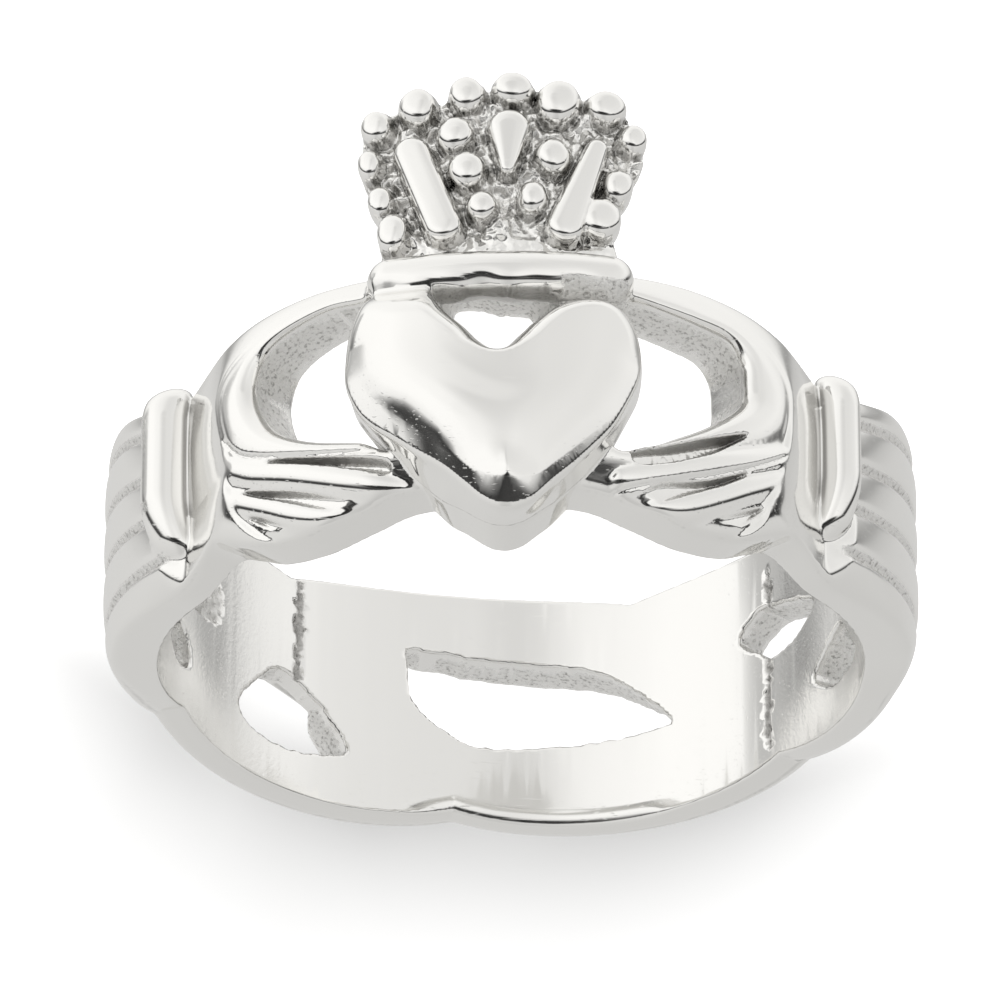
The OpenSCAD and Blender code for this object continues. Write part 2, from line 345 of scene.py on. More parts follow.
RIGHT = {
    "crest": [(17, 1.85), (21, 1.66), (25.5, 1.5), (34.3, 1.34), (37.9, 1.1), (40.6, 0.65), (42.1, 0),
              (42.1, -0.9), (41.6, -1.55), (40.6, -2.2), (39.9, -2.75), (38.8, -3.1), (38, -3.7),
              (34, -4.3), (27, -4.6), (17, -4.7)],
    "opening": [(17, 1.6), (18.6, 1.56), (22.7, 1.4), (27.7, 1.23), (32.2, 1.05), (34.6, 0.6),
                (35.1, 0), (34.5, -0.65), (29.3, -1.47), (23.9, -2.05), (20, -2.38), (15, -2.4),
                (12, 0), (14, 1.4)],
    "palm": [(42.5, -1.6), (39.5, -1.95), (36.2, -2.3), (31.3, -2.72), (25.3, -3.12), (15.9, -3.6)],
    "slots": [
        [(17.6, -2.72), (18.9, -2.92), (23.6, -2.75), (29.6, -2.26), (34.4, -1.6), (28.9, -1.94),
         (23.6, -2.3), (18.3, -2.55)],
        [(17, -4.22), (19.3, -3.8), (20.7, -3.42), (23, -3.24), (28.9, -3), (34.8, -2.56),
         (31.6, -2.99), (25.5, -3.52)],
        [(27.8, -4.37), (31.9, -3.78), (37.9, -3.27), (35.1, -3.86), (31.9, -4.23)],
    ],
}
# The ridges of the thumb with the first finger, and of two more fingers. Columns: line, half
# width, rise
LEFT["fingers"] = [
    ([(-15, 1.95), (-19, 1.92), (-23, 1.83), (-27, 1.65), (-32, 1.32), (-36, 0.82), (-38.8, 0.1),
      (-38.8, -0.6), (-37.4, -1.2), (-34, -1.66), (-30, -1.9), (-25, -2.17), (-19, -2.42),
      (-13, -2.6)], 0.60, 0.12),
    ([(-40, -1.95), (-37.5, -2.2), (-35.4, -2.38), (-29.8, -2.68), (-23.2, -3.07), (-17.1, -3.45),
      (-13, -3.8)], 0.36, 0.12),
    ([(-39.8, -2.9), (-37.5, -3.08), (-34, -3.36), (-29.5, -3.76), (-24, -4.1), (-18, -4.3)], 0.34, 0.10),
]
RIGHT["fingers"] = [
    ([(15, 1.85), (19, 1.72), (24, 1.6), (29, 1.5), (33, 1.3), (36.5, 0.85), (38.8, 0.1),
      (38.8, -0.6), (36.6, -1.1), (33, -1.4), (29, -1.72), (24, -2.18), (19, -2.48),
      (14, -2.6)], 0.60, 0.12),
    ([(41, -1.85), (38, -2.05), (35, -2.25), (29, -2.62), (23.5, -2.98), (17, -3.35)], 0.34, 0.12),
    ([(40, -2.5), (37.5, -2.75), (35, -2.98), (31, -3.38), (26, -3.82), (19, -4.2)], 0.34, 0.11),
]
wrist_slope = 0.46
hand_low = finger_r + 0.85
crest_top = finger_r + hand_t - 0.1
ridge_rise = 0.12
palm_depth = 0.07
palm_w = 0.05
slot_floor = finger_r + 1.33
slot_wall = 0.1
opening_top = finger_r + hand_t - 0.3
opening_slope = 1.4
openings = np.full(A.shape, FAR_OFF)


def model_hand(hand):
    """Lays the hand's crest, palm line and fingers into the band, and cuts its opening."""
    crest = curve(hand["crest"])
    side = math.copysign(1, hand["crest"][0][0])
    toward_heart = np.array([[side * 4, crest[-1, 1]], [side * 4, crest[0, 1]]])
    win = Window(np.vstack([crest, toward_heart]), 3.4)
    d = outline_distance(win, np.vstack([crest, toward_heart]))
    # outside its crest the hand falls away to the wrist and to the edges of the band
    fall = crest_top - wrist_slope * d
    reach = smooth(sleeve_start + 1, sleeve_start - 3, side * win.a) * smooth(12, 17, side * win.a)
    lowered = soft_max(soft_min(band_top[win.part], fall, 0.08), hand_low, 0.4)
    top = mix(band_top[win.part], np.minimum(lowered, band_top[win.part]), reach)
    # inside it the thumb, the back of the hand and the fingers are rounded ridges
    ridges = np.zeros(d.shape)
    for line, half, rise in hand["fingers"]:
        near_line = line_distance(win, curve(line))
        ridges = soft_max(ridges, rise * (1 - (near_line / half) ** 2), 0.05)
    inside = smooth(0.03, -0.2, d) * smooth(5, 8, side * win.a)
    top = top - inside * (ridge_rise - ridges)
    palm_line = line_distance(win, curve(hand["palm"]))
    top = top - palm_depth * np.exp(-((palm_line / palm_w) ** 2)) * inside
    band_top[win.part] = top
    for slot in hand["slots"]:
        sink(band_top, rough, slot, slot_floor, slot_wall)
    cut = Window(hand["opening"], 1.5)
    gap = outline_distance(cut, curve(hand["opening"], closed=True))
    openings[cut.part] = np.minimum(openings[cut.part], gap)
    band_top[cut.part] = soft_min(band_top[cut.part], opening_top + opening_slope * gap, 0.25)


model_hand(LEFT)
model_hand(RIGHT)

# Openings of the plait, clockwise from the right hand's side, in (angle, y) pairs
PLAIT_GAPS = [
    [(103, -1.92), (106, -1.34), (111, -0.5), (117, -0.77), (121, -1.4), (113.5, -2)],
    [(121, 0.83), (133, 1.5), (138, 1.28), (140, 0.83), (137, 0.45), (131, 0)],
    [(154, -0.64), (164, 0.7), (169, 1.09), (176, 1.28), (187, 1.47), (198, 1.6), (199, 1.09),
     (198, 0.19), (194, -0.45), (187, -0.96), (175, -1.02), (158, -0.9)],
    [(210, -1.66), (213, -0.9), (217, -0.32), (222, 0.06), (226, -0.13), (231, -0.9),
     (233, -1.41), (231, -1.79), (224, -2.05), (217, -1.98)],
    [(248, -1.28), (252, -0.45), (257, -1.34), (252, -1.66)],
]
# The gap in the heart's cleft, as wide as its rim under the bar and narrower at the bore
CLEFT_RIM = [(-8.8, 1.42), (-7.6, 1.56), (-4.7, 1.6), (0, 1.52), (2.6, 1.5), (5.9, 1.64), (7.6, 1.5),
             (8.1, 1.1), (5.8, 0.3), (2.2, -0.3), (0.5, -0.66), (-0.8, -0.66), (-4.5, 0.1),
             (-7.6, 0.8)]
CLEFT_BORE = [(-7, 1.8), (-3.7, 1.82), (0.4, 1.7), (4.6, 1.62), (5, 1.2), (3, 0.4), (0.5, -0.2),
              (-1.2, -0.2), (-4.4, 0.6), (-6.8, 1.3)]
for outline in PLAIT_GAPS:
    cut = Window(outline, 1.0)
    gap = outline_distance(cut, curve(outline, closed=True))
    gap += 0.035 * lumps(cut.u, cut.y, 0.3, 21) + 0.015 * lumps(cut.u, cut.y, 0.1, 22)
    openings[cut.part] = np.minimum(openings[cut.part], gap)
cleft_top = 10.4
clefts = []
for outline in (CLEFT_RIM, CLEFT_BORE):
    cut = Window(outline, 1.5)
    gap = outline_distance(cut, curve(outline, closed=True))
    gap = gap + 0.05 * lumps(cut.u, cut.y, 0.3, 23) + 0.03 * lumps(cut.u, cut.y, 0.13, 24)
    clefts.append(on_sheet(cut, gap))
# A rough strip lies between the bar and the right lobe
strip = smooth(7.5, 8.5, A) * smooth(17.5, 16.5, A) * smooth(0.75, 0.9, Y) * smooth(1.75, 1.65, Y)
rough = np.maximum(rough, strip)
band_top = band_top + strip * (0.06 * lumps(U, Y, 0.14, 25) - 0.1)

# THE HEART
# Outline of the rim, anticlockwise from the cleft, in (angle, y) pairs. On the left the lobe
# runs on under the bar.
HEART = [
    (0, -0.62), (2.2, -0.25), (4.2, 0.18), (6.5, 0.55), (9.6, 0.8), (12.8, 0.84), (15.4, 0.62),
    (17.2, 0.1), (17.9, -0.6), (17.3, -1.25), (15.8, -1.95), (14, -2.62), (11.6, -3.2), (9, -3.75),
    (6.6, -4.2), (4.3, -4.65), (2.4, -4.84), (1, -4.88), (-0.6, -4.83), (-2.4, -4.62), (-4.6, -4.22),
    (-7, -3.78), (-10, -3.33), (-13, -2.85), (-16, -2.4), (-18, -1.9), (-19.4, -1.2), (-19.7, -0.5),
    (-19.1, 0.2), (-17.7, 0.8), (-16.4, 1.35), (-15.6, 1.85), (-12.5, 2), (-10, 1.75), (-9, 1.2),
    (-7, 0.6), (-4.2, 0.05), (-2.2, -0.38),
]
# Lower down the skirt is wider along the two flanks: the outline of its lower crease
HEART_FOOT = [
    (0, -0.5), (2.2, -0.15), (4.2, 0.25), (6.5, 0.6), (9.6, 0.86), (12.8, 0.95), (16, 0.8),
    (18.6, 0.35), (19.8, -0.3), (19.2, -1.05), (17.4, -1.8), (15.2, -2.55), (12.6, -3.1),
    (10, -3.6), (7.6, -4.03), (5.6, -4.3), (3.6, -4.56), (1.8, -4.69), (0.4, -4.72), (-1.4, -4.67),
    (-3.2, -4.51), (-5.6, -4.23), (-8, -3.98), (-11.2, -3.42), (-13.7, -2.85), (-17, -2.2),
    (-19.8, -1.6), (-20.8, -0.6), (-20.2, 0.3), (-18.7, 0.9), (-17.2, 1.4), (-15.9, 1.85),
    (-12.5, 2), (-9.6, 1.75), (-8.6, 1.2), (-6.6, 0.7), (-4, 0.15), (-2, -0.25),
]
skirt_crease_r = 9.93
skirt_nick = 0.03
skirt_nick_w = 0.05
# The dome lies above this crease, and a bevel runs from the crease down to the rim
CREASE = [
    (-22, 0.6), (-19.6, -0.35), (-17.7, -1.08), (-15, -1.86), (-10.4, -2.66), (-6.4, -3.36),
    (-3.7, -3.87), (-1.1, -4.14), (1.7, -4.24), (4.5, -4.08), (6.6, -3.76), (9.6, -3.2),
    (12.6, -2.58), (15.2, -1.96), (17, -1.2), (20, 0),
]
ABOVE = [(22, 3.5), (-23, 3.5)]
# Slopes of the bevel, and below them of the dome just inside its crease, from where it
# flattens inwards. A steeper face mirrors the dark rim of the sky, a gentler one its white.
# Columns: place across the head, slope
BEVEL = [
    (-3.4, 0.50), (-2.8, 0.50), (-2.3, 0.53), (-2.0, 0.57), (-1.75, 0.63), (-1.45, 0.71),
    (-1.2, 0.79), (-0.9, 0.83), (-0.6, 0.84), (-0.3, 0.77), (0, 0.69), (0.3, 0.69), (0.6, 0.75),
    (0.9, 0.82), (1.2, 0.79), (1.6, 0.74), (2.0, 0.69), (2.5, 0.69), (2.9, 0.66), (3.3, 0.6),
]
STEEP = [
    (-3.3, 0.39), (-2.8, 0.48), (-2.3, 0.54), (-2.0, 0.58), (-1.75, 0.61), (-1.45, 0.63),
    (-1.2, 0.63), (-0.9, 0.58), (-0.6, 0.48), (-0.3, 0.42), (0, 0.39), (0.6, 0.40), (0.9, 0.45),
    (1.2, 0.51), (1.6, 0.50), (2.0, 0.48), (2.5, 0.43), (2.9, 0.39),
]
rim_step = 0.02
bevel_most = 0.7
dome_rise = 0.5
dome_slope = 0.11
dome_flat = 3.3
side_slope = 2.4
skirt_slope = 4
heart_line = curve(HEART, closed=True, steps=16)
win_h = Window(heart_line, 1.2)
d_heart = outline_distance(win_h, heart_line)
rim = finger_r + heart_rim
crease_line = curve(CREASE, steps=12)
d_dome = outline_distance(win_h, np.vstack([crease_line, ABOVE]))
inset = np.maximum(-d_heart, 0)
slope_here = np.interp(win_h.u, *zip(*BEVEL))
bevel = rim + rim_step + slope_here * inset
steep = np.interp(win_h.u, *zip(*STEEP))
steep_reach = 2 * dome_rise / steep
inward = np.clip(-d_dome, 0, dome_flat)
at_crease = rim + rim_step + slope_here * np.clip(inset - np.maximum(-d_dome, 0), 0, bevel_most)
puff = dome_slope * (inward - inward**2 / (2 * dome_flat))
near_crease = np.minimum(inward, steep_reach)
puff = puff + steep * (near_crease - near_crease**2 / (2 * steep_reach))
dome_top = at_crease + puff
dome_top = mix(dome_top, blurred(dome_top, 13), smooth(0.15, 0.9, inward))
heart_face = np.where(d_dome > 0, bevel, dome_top)
rim_top = rim + 0.03
pillow = rim_top - side_slope * d_heart
upper = smooth(-1.4, -0.4, win_h.y)
lobe = soft_min(heart_face, pillow, mix(0.03, 0.6, upper))
# The left lobe sinks a little before it meets the bar
sunk_top = finger_r + 2.0
sunk_slope = 1.2
to_bar = sunk_top + sunk_slope * np.maximum(1.5 - win_h.y, 0) + 3 * smooth(-8.5, -4, win_h.a)
lobe = soft_min(lobe, to_bar, 0.4)
heart_top = on_sheet(win_h, np.minimum(lobe, rim_top - skirt_slope * d_heart), 0)
heart_edge = on_sheet(win_h, d_heart)
foot_line = curve(HEART_FOOT, closed=True, steps=16)
win_f = Window(foot_line, 1.2)
heart_foot = on_sheet(win_f, outline_distance(win_f, foot_line))

# THE CROWN
# The crown's outline at its face, in (angle, y) pairs
CROWN = [
    (-16.8, 1.9), (-16.9, 2.8), (-16.2, 3.3), (-17.6, 4.2), (-19.3, 4.85), (-20, 5.5), (-19.8, 6.15),
    (-18.8, 6.6), (-16, 6.75), (-13.6, 7.05), (-9.8, 7.1), (-7.6, 7.0), (-4.6, 7.3), (-2.2, 7.25),
    (1.6, 7.45), (4.6, 7.2), (8, 7.22), (11, 7.05), (14.6, 7.1), (17.3, 6.9), (18.8, 6.45),
    (19.9, 6.25), (20.3, 5.8), (19.8, 5.2), (17.9, 4.5), (16.2, 3.85), (15.5, 3.3), (16.7, 2.7),
    (16.8, 1.9),
]
# Its outline at the back is plainer
PLATE = [(-16.8, 1.9), (-16.6, 3.3), (-18, 4.5), (-18.8, 5.5), (-18.4, 6.3), (-15, 6.75), (-8, 6.95),
         (0, 7.05), (8, 6.95), (14.8, 6.7), (18.4, 6.3), (19, 5.5), (17.6, 4.4), (16, 3.3), (16.7, 1.9)]
# Pillars. Columns: angle, y, width along the turn, width along y, height over the ground
PILLARS = [
    (-17.2, 6.42, 0.80, 0.86, 0.50),
    (-11.3, 6.80, 0.96, 0.92, 0.54),
    (-4.5, 7.05, 0.98, 0.88, 0.54),
    (1.7, 7.18, 1.08, 0.80, 0.54),
    (8.0, 6.84, 1.10, 1.06, 0.56),
    (14.6, 6.80, 1.02, 0.84, 0.52),
    (18.3, 6.02, 0.74, 0.74, 0.50),
    (-18.0, 5.38, 0.68, 0.76, 0.50),
    (-16.6, 4.28, 0.72, 0.78, 0.50),
    (-14.7, 3.34, 0.86, 0.98, 0.54),
    (16.1, 4.60, 0.88, 0.82, 0.54),
    (13.6, 3.66, 1.10, 1.02, 0.56),
    (-6.1, 5.95, 0.98, 0.86, 0.54),
    (-4.5, 4.96, 0.98, 0.90, 0.54),
    (-2.4, 3.92, 0.84, 0.72, 0.52),
    (7.0, 5.31, 0.94, 0.86, 0.54),
    (4.4, 4.12, 0.80, 0.82, 0.54),
]
# All of them are wider along y than their rows, and lie lower, to a hundredth of a mm
pillar_stretch = 1.2
pillar_drop = 0.03
# Petals: bars with flat tops. Columns: angle and y at the upper end, width there, and the
# same three at the lower end
PETALS = [
    (1.2, 6.02, 1.12, 1.0, 4.85, 0.46),
    (-12.0, 5.46, 0.98, -7.7, 3.38, 1.0),
    (13.0, 5.5, 0.62, 8.8, 3.35, 1.0),
]
petal_rise = 0.56
crown_side_slope = 4
ground_rough = 0.4
ground = finger_r + crown_t - 0.05
crown_line = curve(CROWN, closed=True, steps=6)
win_c = Window(crown_line, 0.9)
d_crown = outline_distance(win_c, crown_line)
u_c, y_c = win_c.u, win_c.y
rough_ground = (0.17 * lumps(u_c, y_c, 0.27, 3) + 0.12 * lumps(u_c, y_c, 0.16, 4)
                + 0.03 * lumps(u_c, y_c, 0.08, 5))
ledge = smooth(3.25, 2.95, y_c)
crown_height = ground + mix(rough_ground, -0.02 + 0.3 * rough_ground, ledge)
polished = np.zeros(u_c.shape)
for a, y, wide, tall, rise in PILLARS:
    y = round(y - pillar_drop, 2)
    tall = round(tall * pillar_stretch, 2)
    t = np.hypot((u_c - math.radians(a) * ARC_R) / (wide / 2), (y_c - y) / (tall / 2))
    t = t * (1 + 0.09 * lumps(u_c, y_c, 0.45, 31))
    d = (t - 1) * min(wide, tall) / 2
    d_crown = soft_min(d_crown, d + 0.02, 0.12)
    top = ground + rise * np.sqrt(np.maximum(1 - clamp01(t) ** 3, 0)) + 0.02
    crown_height = np.where(t < 1, np.maximum(crown_height, top), crown_height)
    polished = np.maximum(polished, smooth(1.0, 0.93, t))
for a0, y0, w0, a1, y1, w1 in PETALS:
    p = np.array([math.radians(a0) * ARC_R, y0])
    q = np.array([math.radians(a1) * ARC_R, y1])
    v = q - p
    s = clamp01(((u_c - p[0]) * v[0] + (y_c - p[1]) * v[1]) / (v @ v))
    d = np.hypot(u_c - p[0] - s * v[0], y_c - p[1] - s * v[1])
    t = d / (mix(w0, w1, s) / 2)
    top = ground + petal_rise * np.sqrt(np.maximum(1 - clamp01(t) ** 4, 0))
    crown_height = np.where(t < 1, soft_max(crown_height, top, 0.04), crown_height)
    polished = np.maximum(polished, smooth(1.0, 0.93, t))
crown_side = ground + 0.05 - crown_side_slope * d_crown
crown_top = on_sheet(win_c, soft_min(crown_height, crown_side, 0.1), 0)
crown_edge = on_sheet(win_c, d_crown)
plate_edge = on_sheet(win_c, outline_distance(win_c, curve(PLATE, closed=True)))
mark = ground_rough * (1 - polished) * (1 - ledge) * smooth(-0.1, -0.2, d_crown)
rough[win_c.part] = np.maximum(rough[win_c.part], mark)

# THE INSIDE
inner = np.full(A.shape, finger_r)
stain = np.zeros(A.shape)
from_seams = np.abs(np.where(half_turn < 0, half_turn + 6, half_turn))
inner_rough = 0.08 + 0.2 * smooth(134, 130, from_seams)
# Rough seams across the inside and a shallow pit. Columns: angle, half width, low and high y
SEAMS = [(219.5, 0.14, 0.1, 2.6), (133.4, 0.11, -2.5, 2.6)]
PIT = [(247, 0.4), (245, 1.4), (241, 1.7), (237.5, 1.2), (238.5, 0.5), (243, 0.25)]
for a, half, low, high in SEAMS:
    ends = [(a, low), (a, high)]
    seam = Window(ends, 0.6)
    wander = 0.09 * lumps(seam.u, seam.y, 0.35, 11) + 0.05 * lumps(seam.u, seam.y, 0.12, 12)
    d = line_distance(seam, np.array(ends, float)) + wander
    mark = smooth(half + 0.04, half - 0.05, d)
    inner[seam.part] += 0.06 * mark * (1 + lumps(seam.u, seam.y, 0.11, 13))
    stain[seam.part] = mark
    inner_rough[seam.part] = np.maximum(inner_rough[seam.part], mark)
pit = Window(PIT, 0.6)
d = outline_distance(pit, curve(PIT, closed=True)) + 0.08 * lumps(pit.u, pit.y, 0.2, 14)
mark = smooth(0.02, -0.12, d)
inner[pit.part] += mark * (0.1 + 0.08 * lumps(pit.u, pit.y, 0.16, 15))
inner_rough[pit.part] = np.maximum(inner_rough[pit.part], mark)
stain[pit.part] = 0.6 * mark
# The near edge of the hole is flared at the back
flare_depth = 0.16
flare_w = 0.5
flare = smooth(150, 160, A) * smooth(202, 192, A)
inner = inner + flare_depth * flare * clamp01(1 - (Y - near) / flare_w) ** 2

# THE FIELD
SHEETS = dict(
    band_top=band_top,
    band_edge=np.maximum(band_edge, -openings),
    openings=openings,
    cleft_rim=clefts[0],
    cleft_bore=clefts[1],
    heart_top=heart_top,
    heart_edge=heart_edge,
    heart_foot=heart_foot,
    crown_top=crown_top,
    crown_edge=crown_edge,
    plate_edge=plate_edge,
    inner=inner,
    rough=rough,
    inner_rough=inner_rough,
    stain=stain,
)
STACK = np.stack(list(SHEETS.values()), axis=-1).astype(np.float32)


def sheet_at(a, y):
    """All the sheets by name at any places, between their samples."""
    fa = ((a - SHEET_START) % 360) / SHEET_TURN
    fy = np.clip((y - SHEET_LOW) / SHEET_STEP, 0, len(across) - 1.001)
    i = np.floor(fa).astype(int)
    j = np.floor(fy).astype(int)
    s = (fa - i)[:, None].astype(np.float32)
    t = (fy - j)[:, None].astype(np.float32)
    i %= len(angles)
    n = (i + 1) % len(angles)
    low = STACK[i, j] * (1 - s) + STACK[n, j] * s
    high = STACK[i, j + 1] * (1 - s) + STACK[n, j + 1] * s
    return dict(zip(SHEETS, (low * (1 - t) + high * t).T))


# Each cuff is a rounded rib across the wrist
RIBS = [
    dict(angle=55.0, head_w=0.45, outer_w=0.42, half_t=0.54, radius=finger_r + 1.27,
         low=-2.35, high=1.1),
    dict(angle=-56.5, head_w=0.60, outer_w=0.45, half_t=0.6, radius=finger_r + 1.28,
         low=-2.65, high=1.05),
]
rib_end = 0.6
low_bend = 0.24
low_bent = 1.2
high_bend = 0.35
high_bent = 0.5
# The bar under the crown
bar_half = 14.6
bar_y = 0.3 * band_w
bar_r = finger_r + 1.65


def rib_distance(a, y, r, rib):
    """Distance to a rib across the band with an oval section, whose two ends bend inwards."""
    dive = low_bend * np.maximum(rib["low"] + low_bent - y, 0) ** 2
    dive = dive + high_bend * np.maximum(y - rib["high"] + high_bent, 0) ** 2
    outer = (a - rib["angle"]) * rib["angle"] > 0
    dx = r * np.sin(np.radians(a - rib["angle"])) / np.where(outer, rib["outer_w"], rib["head_w"])
    dz = (r * np.cos(np.radians(a - rib["angle"])) - rib["radius"] + dive) / rib["half_t"]
    low = np.minimum(y - rib["low"], 0) / rib_end
    high = np.maximum(y - rib["high"], 0) / rib_end
    return (np.sqrt(dx**2 + dz**2 + low**2 + high**2) - 1) * rib["half_t"]


def bar_distance(a, y, r):
    """Distance to the bar under the crown, bent round the finger hole."""
    over = a - np.clip(a, -bar_half, bar_half)
    dx = r * np.sin(np.radians(over))
    dz = r * np.cos(np.radians(over)) - bar_r
    wobble = 0.03 * np.sin(np.radians(31 * a)) + 0.02 * np.sin(np.radians(57 * a + 40))
    wobble = wobble * smooth(bar_y, bar_y - 0.4, y)
    return np.sqrt(dx**2 + (y - bar_y) ** 2 + dz**2) - bar_d / 2 - wobble


def cleft_distance(s, r):
    return mix(s["cleft_bore"], s["cleft_rim"], smooth(finger_r, cleft_top, r))


# The distance to a sloping face is about this share of the height over it
band_share = 0.8
heart_share = 0.7
crown_share = 0.6
# The crown's back outline changes to that of its face between these radii
plate_low = finger_r + 0.5
plate_high = finger_r + 1.1


def field(a, y, r, s):
    """Signed distance to the silver, less than 0 inside. s holds the sheets at those places."""
    band = soft_max((r - s["band_top"]) * band_share, s["band_edge"], 0.12)
    skirt = mix(s["heart_foot"], s["heart_edge"], smooth(skirt_crease_r, rim, r))
    skirt = skirt + skirt_nick * np.exp(-(((r - skirt_crease_r) / skirt_nick_w) ** 2))
    heart = soft_max((r - s["heart_top"]) * heart_share, skirt, 0.1)
    outline = mix(s["plate_edge"], s["crown_edge"], smooth(plate_low, plate_high, r))
    crown = soft_max((r - s["crown_top"]) * crown_share, outline, 0.1)
    body = soft_min(band, heart, 0.06)
    body = soft_min(body, crown, 0.08)
    body = soft_max(body, -cleft_distance(s, r), 0.04)
    body = soft_min(body, bar_distance(a, y, r), mix(0.08, 0.25, smooth(-2, -16, a)))
    for rib in RIBS:
        body = soft_min(body, rib_distance(a, y, r, rib), 0.1)
    return soft_max(body, s["inner"] - r, 0.1)


# FROM FIELD TO MESH
# The grid is finer on the head's side of the ring, up to this angle
front = 60
front_step = 0.36
back_step = 0.8
cross_step = 0.07
lift_step = 0.075
grid_a = np.concatenate([np.arange(-front, front, front_step),
                         np.arange(front, 360 - front, back_step)])
grid_y = np.arange(-5.4, 7.95, cross_step)
grid_r = np.arange(finger_r - 0.23, 12.4, lift_step)


def sample_grid():
    a, y = np.meshgrid(grid_a, grid_y, indexing="ij")
    here = sheet_at(a.ravel(), y.ravel())
    s = {name: values.reshape(a.shape)[..., None] for name, values in here.items()}
    return field(a[..., None], y[..., None], grid_r, s).astype(np.float32)


def surface_net(f):
    """One vertex in each cell that the surface passes, and a quad for each crossed edge."""
    f = np.concatenate([f, f[:1]])
    turn = np.append(grid_a, grid_a[0] + 360)
    inside = f < 0
    corner = [(i, j, k) for i in (0, 1) for j in (0, 1) for k in (0, 1)]
    na, ny, nr = (n - 1 for n in f.shape)

    def cut(grid, c):
        return grid[c[0]:c[0] + na, c[1]:c[1] + ny, c[2]:c[2] + nr]

    count = sum(cut(inside, c).astype(np.int8) for c in corner)
    cell = np.argwhere((count > 0) & (count < 8))
    number = np.full((na, ny, nr), -1)
    number[tuple(cell.T)] = np.arange(len(cell))
    values = {c: f[tuple((cell + c).T)] for c in corner}
    total = np.zeros((len(cell), 3))
    crossings = np.zeros(len(cell))
    for c in corner:
        for axis in range(3):
            if c[axis]:
                continue
            e = tuple(v + (n == axis) for n, v in enumerate(c))
            f0, f1 = values[c], values[e]
            crossed = (f0 < 0) != (f1 < 0)
            t = np.where(crossed, f0 / np.where(crossed, f0 - f1, 1), 0)
            p = np.array(c, float)[None, :].repeat(len(cell), 0)
            p[:, axis] += t
            total += p * crossed[:, None]
            crossings += crossed
    at = cell + total / crossings[:, None]
    verts = np.column_stack([np.interp(at[:, n], np.arange(len(g)), g)
                             for n, g in enumerate((turn, grid_y, grid_r))])
    quads = []
    for axis in range(3):
        one, two = [n for n in range(3) if n != axis]
        low = [slice(None)] * 3
        high = [slice(None)] * 3
        low[axis], high[axis] = slice(0, -1), slice(1, None)
        change = inside[tuple(low)] != inside[tuple(high)]
        place = np.argwhere(change)
        place = place[(place[:, 1] > 0) & (place[:, 1] < ny) & (place[:, 2] > 0) & (place[:, 2] < nr)]
        place = place[place[:, 0] < na]
        loop = []
        for d1, d2 in ((0, 0), (1, 0), (1, 1), (0, 1)):
            q = place.copy()
            q[:, one] -= d1
            q[:, two] -= d2
            q[:, 0] %= na
            loop.append(number[tuple(q.T)])
        quad = np.column_stack(loop)
        flip = inside[tuple(place.T)] ^ (axis == 1)
        quad[~flip] = quad[~flip][:, ::-1]
        quads.append(quad)
    return verts, np.vstack(quads)


probe = 0.03
most_move = 0.06
least_growth = 0.15


def measure(p):
    return field(p[:, 0], p[:, 1], p[:, 2], sheet_at(p[:, 0], p[:, 1]))


def gradient(p):
    """Direction in which the field grows, as parts along the turn, y and the radius."""
    out = []
    for axis in range(3):
        step = np.zeros(p.shape)
        step[:, axis] = probe
        if axis == 0:
            step[:, 0] = np.degrees(probe / p[:, 2])
        out.append((measure(p + step) - measure(p - step)) / (2 * probe))
    return np.column_stack(out)


def settle(p, rounds):
    """Moves points onto the surface, a short way in each round."""
    for _ in range(rounds):
        g = gradient(p)
        steps = measure(p) / np.maximum((g * g).sum(1), least_growth)
        move = np.clip(steps, -most_move, most_move)[:, None] * g
        p = p - np.column_stack([np.degrees(move[:, 0] / p[:, 2]), move[:, 1], move[:, 2]])
    return p


def unrolled_to_space(p):
    a = np.radians(p[:, 0])
    return np.column_stack([p[:, 2] * np.sin(a), p[:, 1], p[:, 2] * np.cos(a)])


def space_to_unrolled(p):
    a = np.degrees(np.arctan2(p[:, 0], p[:, 2]))
    return np.column_stack([a, p[:, 1], np.hypot(p[:, 0], p[:, 2])])


def to_space(p, g):
    """Turns directions along the turn, y and the radius into the ring's own axes."""
    a = np.radians(p[:, 0])
    return np.column_stack([g[:, 0] * np.cos(a) + g[:, 2] * np.sin(a), g[:, 1],
                            -g[:, 0] * np.sin(a) + g[:, 2] * np.cos(a)])


def recess(p, unit, growth, reach):
    """How far the silver closes in round each point: 0 on an open face, 1 deep in a crevice."""
    step = reach * unit
    ahead = p + np.column_stack([np.degrees(step[:, 0] / p[:, 2]), step[:, 1], step[:, 2]])
    return clamp01(1 - measure(ahead) / (reach * growth))


def new_mesh(name, verts, faces):
    mesh = bpy.data.meshes.new(name)
    mesh.vertices.add(len(verts))
    mesh.vertices.foreach_set("co", np.ascontiguousarray(verts, np.float32).ravel())
    mesh.loops.add(faces.size)
    mesh.loops.foreach_set("vertex_index", faces.astype(np.int32).ravel())
    mesh.polygons.add(len(faces))
    mesh.polygons.foreach_set("loop_start", np.arange(len(faces), dtype=np.int32) * faces.shape[1])
    mesh.update()
    mesh.validate()
    return mesh


def thinned(mesh, most):
    """The mesh with at most that many triangles, fewest where it is flattest."""
    obj = bpy.data.objects.new("draft", mesh)
    bpy.context.scene.collection.objects.link(obj)
    to_triangles = obj.modifiers.new("triangles", "TRIANGULATE")
    to_triangles.quad_method = "SHORTEST_DIAGONAL"
    thin = obj.modifiers.new("thin", "DECIMATE")
    thin.ratio = most / (2 * len(mesh.polygons))
    thin.use_collapse_triangulate = True
    ready = obj.evaluated_get(bpy.context.evaluated_depsgraph_get())
    out = bpy.data.meshes.new_from_object(ready)
    bpy.data.objects.remove(obj)
    return out


most_triangles = 190000
crevice_w = 0.14
corner_w = 0.35


